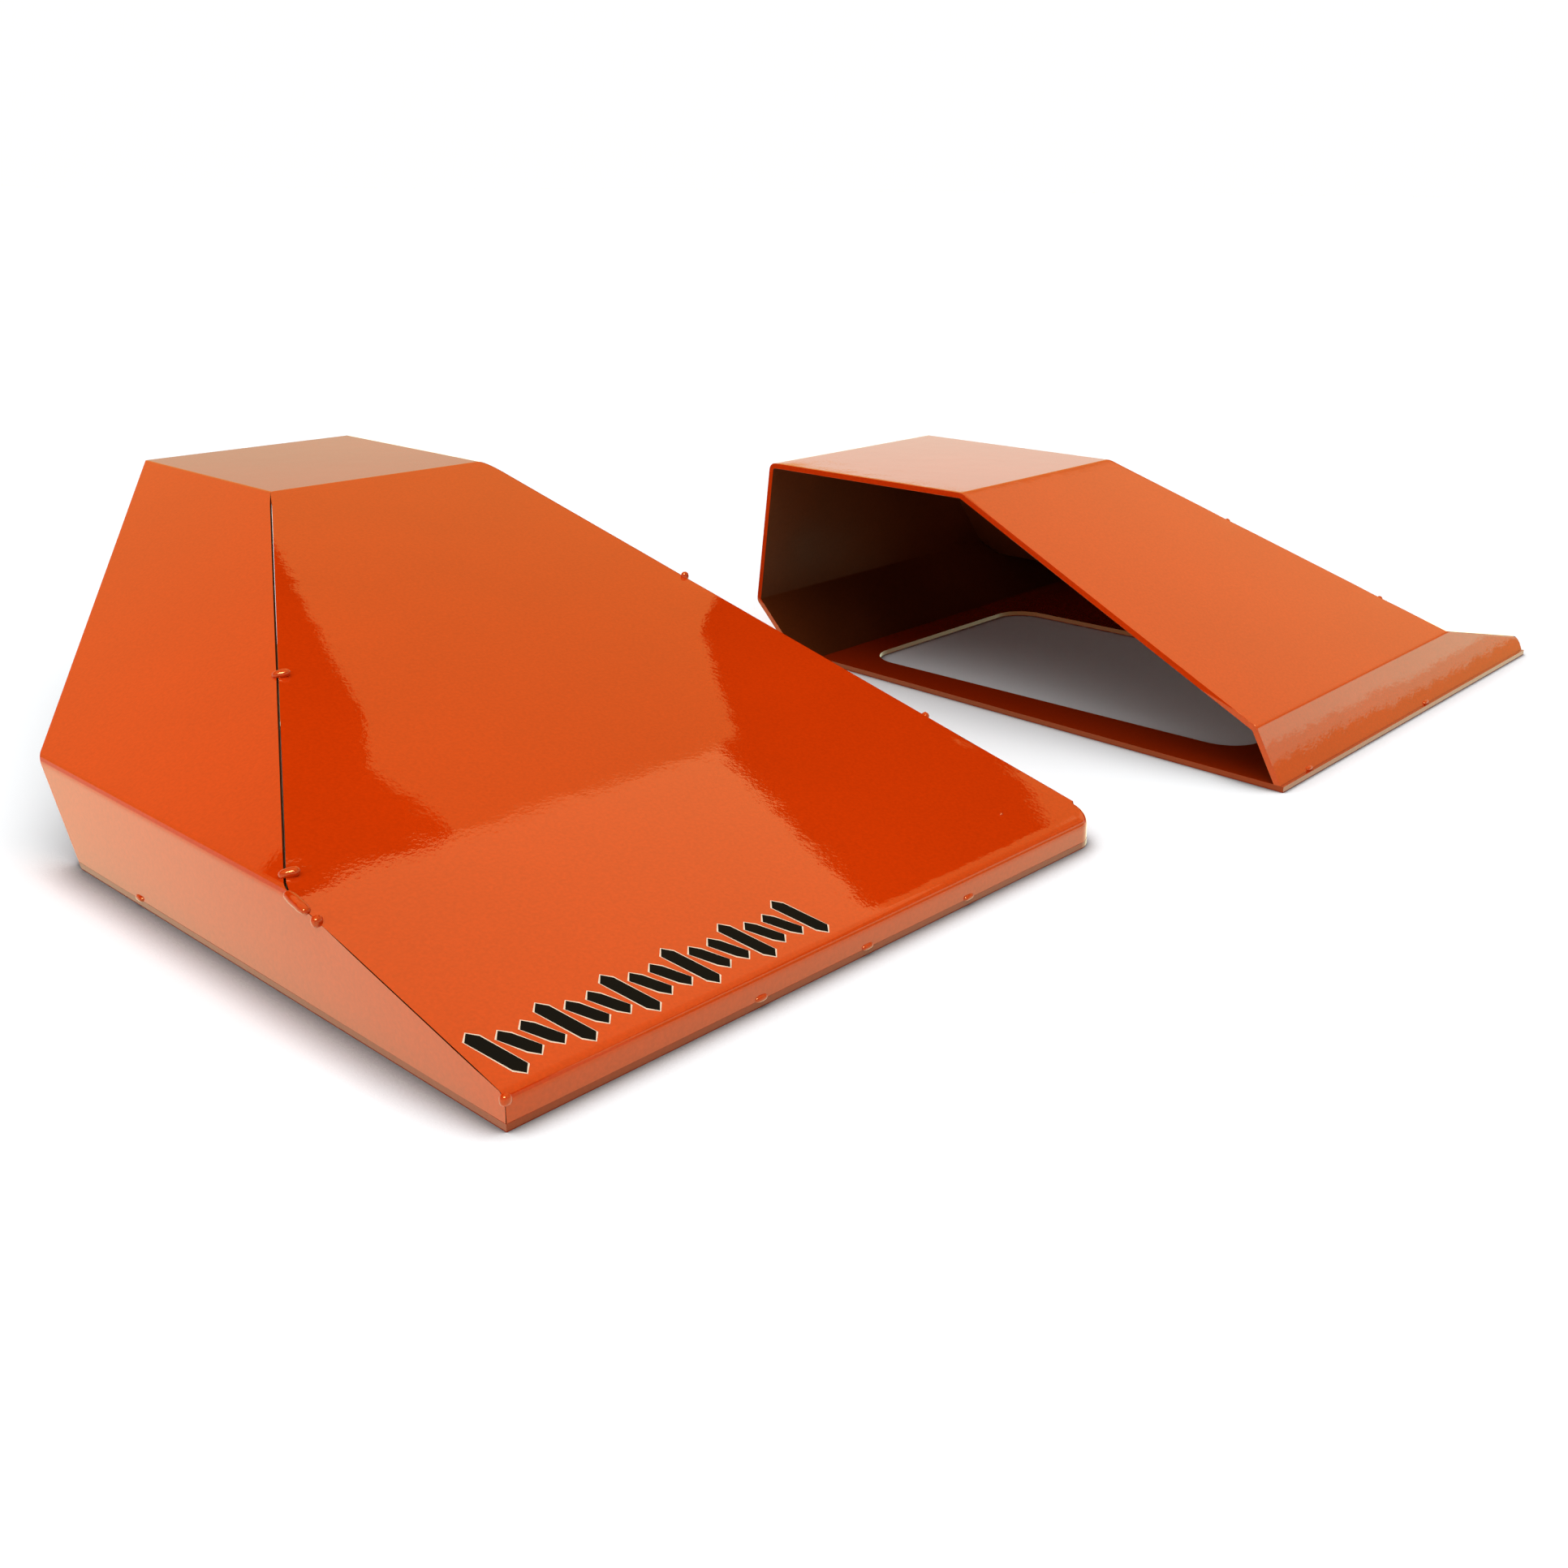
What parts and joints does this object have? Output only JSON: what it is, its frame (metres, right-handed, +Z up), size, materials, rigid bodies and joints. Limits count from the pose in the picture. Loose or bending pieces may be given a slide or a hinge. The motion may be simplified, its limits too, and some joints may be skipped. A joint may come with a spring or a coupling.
{
  "type": "ramp wedge pair",
  "caption": "Pair of folded sheet-metal ramp wedges with flat decks, sloping sides, open mouths and cut-out base plates.",
  "frame": {"origin": "on the floor, in the middle of the pair's plan", "axes": "+Z up, +Y from the long wedge's lip to its back, +X from the long wedge towards the short one"},
  "size_m": [0.789, 0.5998, 0.121],
  "materials": {
    "coated_sheet": "gloss powder coat",
    "weld": "gloss powder coat over weld bead",
    "vinyl": "gloss vinyl"
  },
  "bodies": {
    "long_wedge": {"long_shell": "coated_sheet", "long_base": "coated_sheet", "long_facet_tacks": "weld", "long_corner_bead": "weld", "long_nose_tack": "weld", "long_right_tacks": "weld", "long_base_tacks": "weld", "long_graphic": "vinyl"},
    "short_wedge": {"short_shell": "coated_sheet", "short_base": "coated_sheet", "short_seam_tacks": "weld", "short_base_tacks": "weld"}
  },
  "joints": [
    {"name": "short_lift", "type": "slide", "parent": "long_wedge", "child": "short_wedge", "axis": [0, 0, 1], "range_m": [0, 0.25]}
  ]
}
